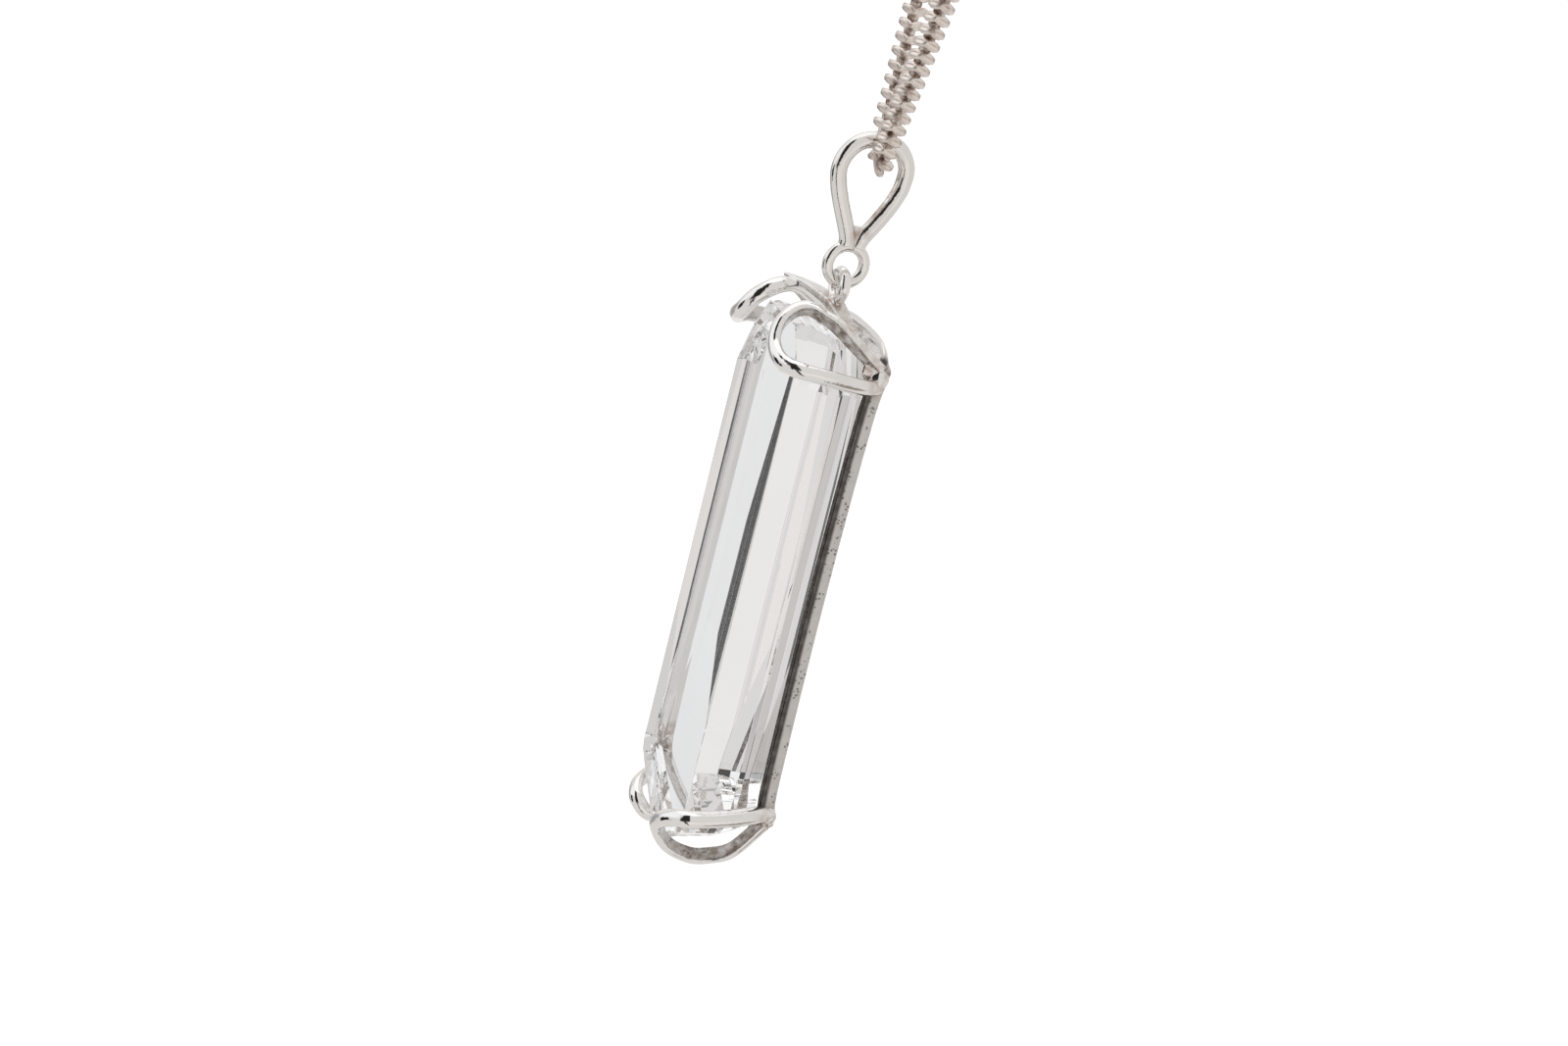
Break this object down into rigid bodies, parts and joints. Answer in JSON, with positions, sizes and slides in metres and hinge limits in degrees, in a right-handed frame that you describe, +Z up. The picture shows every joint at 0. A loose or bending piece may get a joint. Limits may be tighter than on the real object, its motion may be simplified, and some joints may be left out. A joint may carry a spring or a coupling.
{
  "type": "quartz pendant on a chain necklace",
  "caption": "Long faceted clear quartz in an open silver wire setting, hung by a ring and a figure-eight bail on a closed loop-in-loop chain.",
  "frame": {"origin": "under the top of the closed chain loop, at the clasp, where the necklace lies on a neck or a hook", "axes": "+Z up along the hanging line, the pendant hanging below; -Y is the front that the stone's table faces; +X across the stone"},
  "size_m": [0.118, 0.0398, 0.2331],
  "materials": {
    "quartz": "clear polished rock crystal, flat facets",
    "setting_silver": "polished sterling silver, pitted inner faces, light brown tarnish in the joints",
    "bail_silver": "polished cast sterling silver",
    "chain_silver": "polished sterling silver wire, tarnished between the links",
    "clasp_silver": "polished sterling silver"
  },
  "bodies": {
    "necklace": {"chain": "chain_silver", "clasp": "clasp_silver"},
    "hanger": {"bail": "bail_silver"},
    "drop": {"setting": "setting_silver", "stone": "quartz"}
  },
  "joints": [
    {"name": "bail_swing", "type": "hinge", "parent": "necklace", "child": "hanger", "pos_m": [0, 0, -0.16974], "axis": [1, 0, 0], "range_deg": [-60, 60]},
    {"name": "drop_swing", "type": "hinge", "parent": "hanger", "child": "drop", "pos_m": [0, 0, -0.17977], "axis": [0, 1, 0], "range_deg": [-60, 60]}
  ]
}
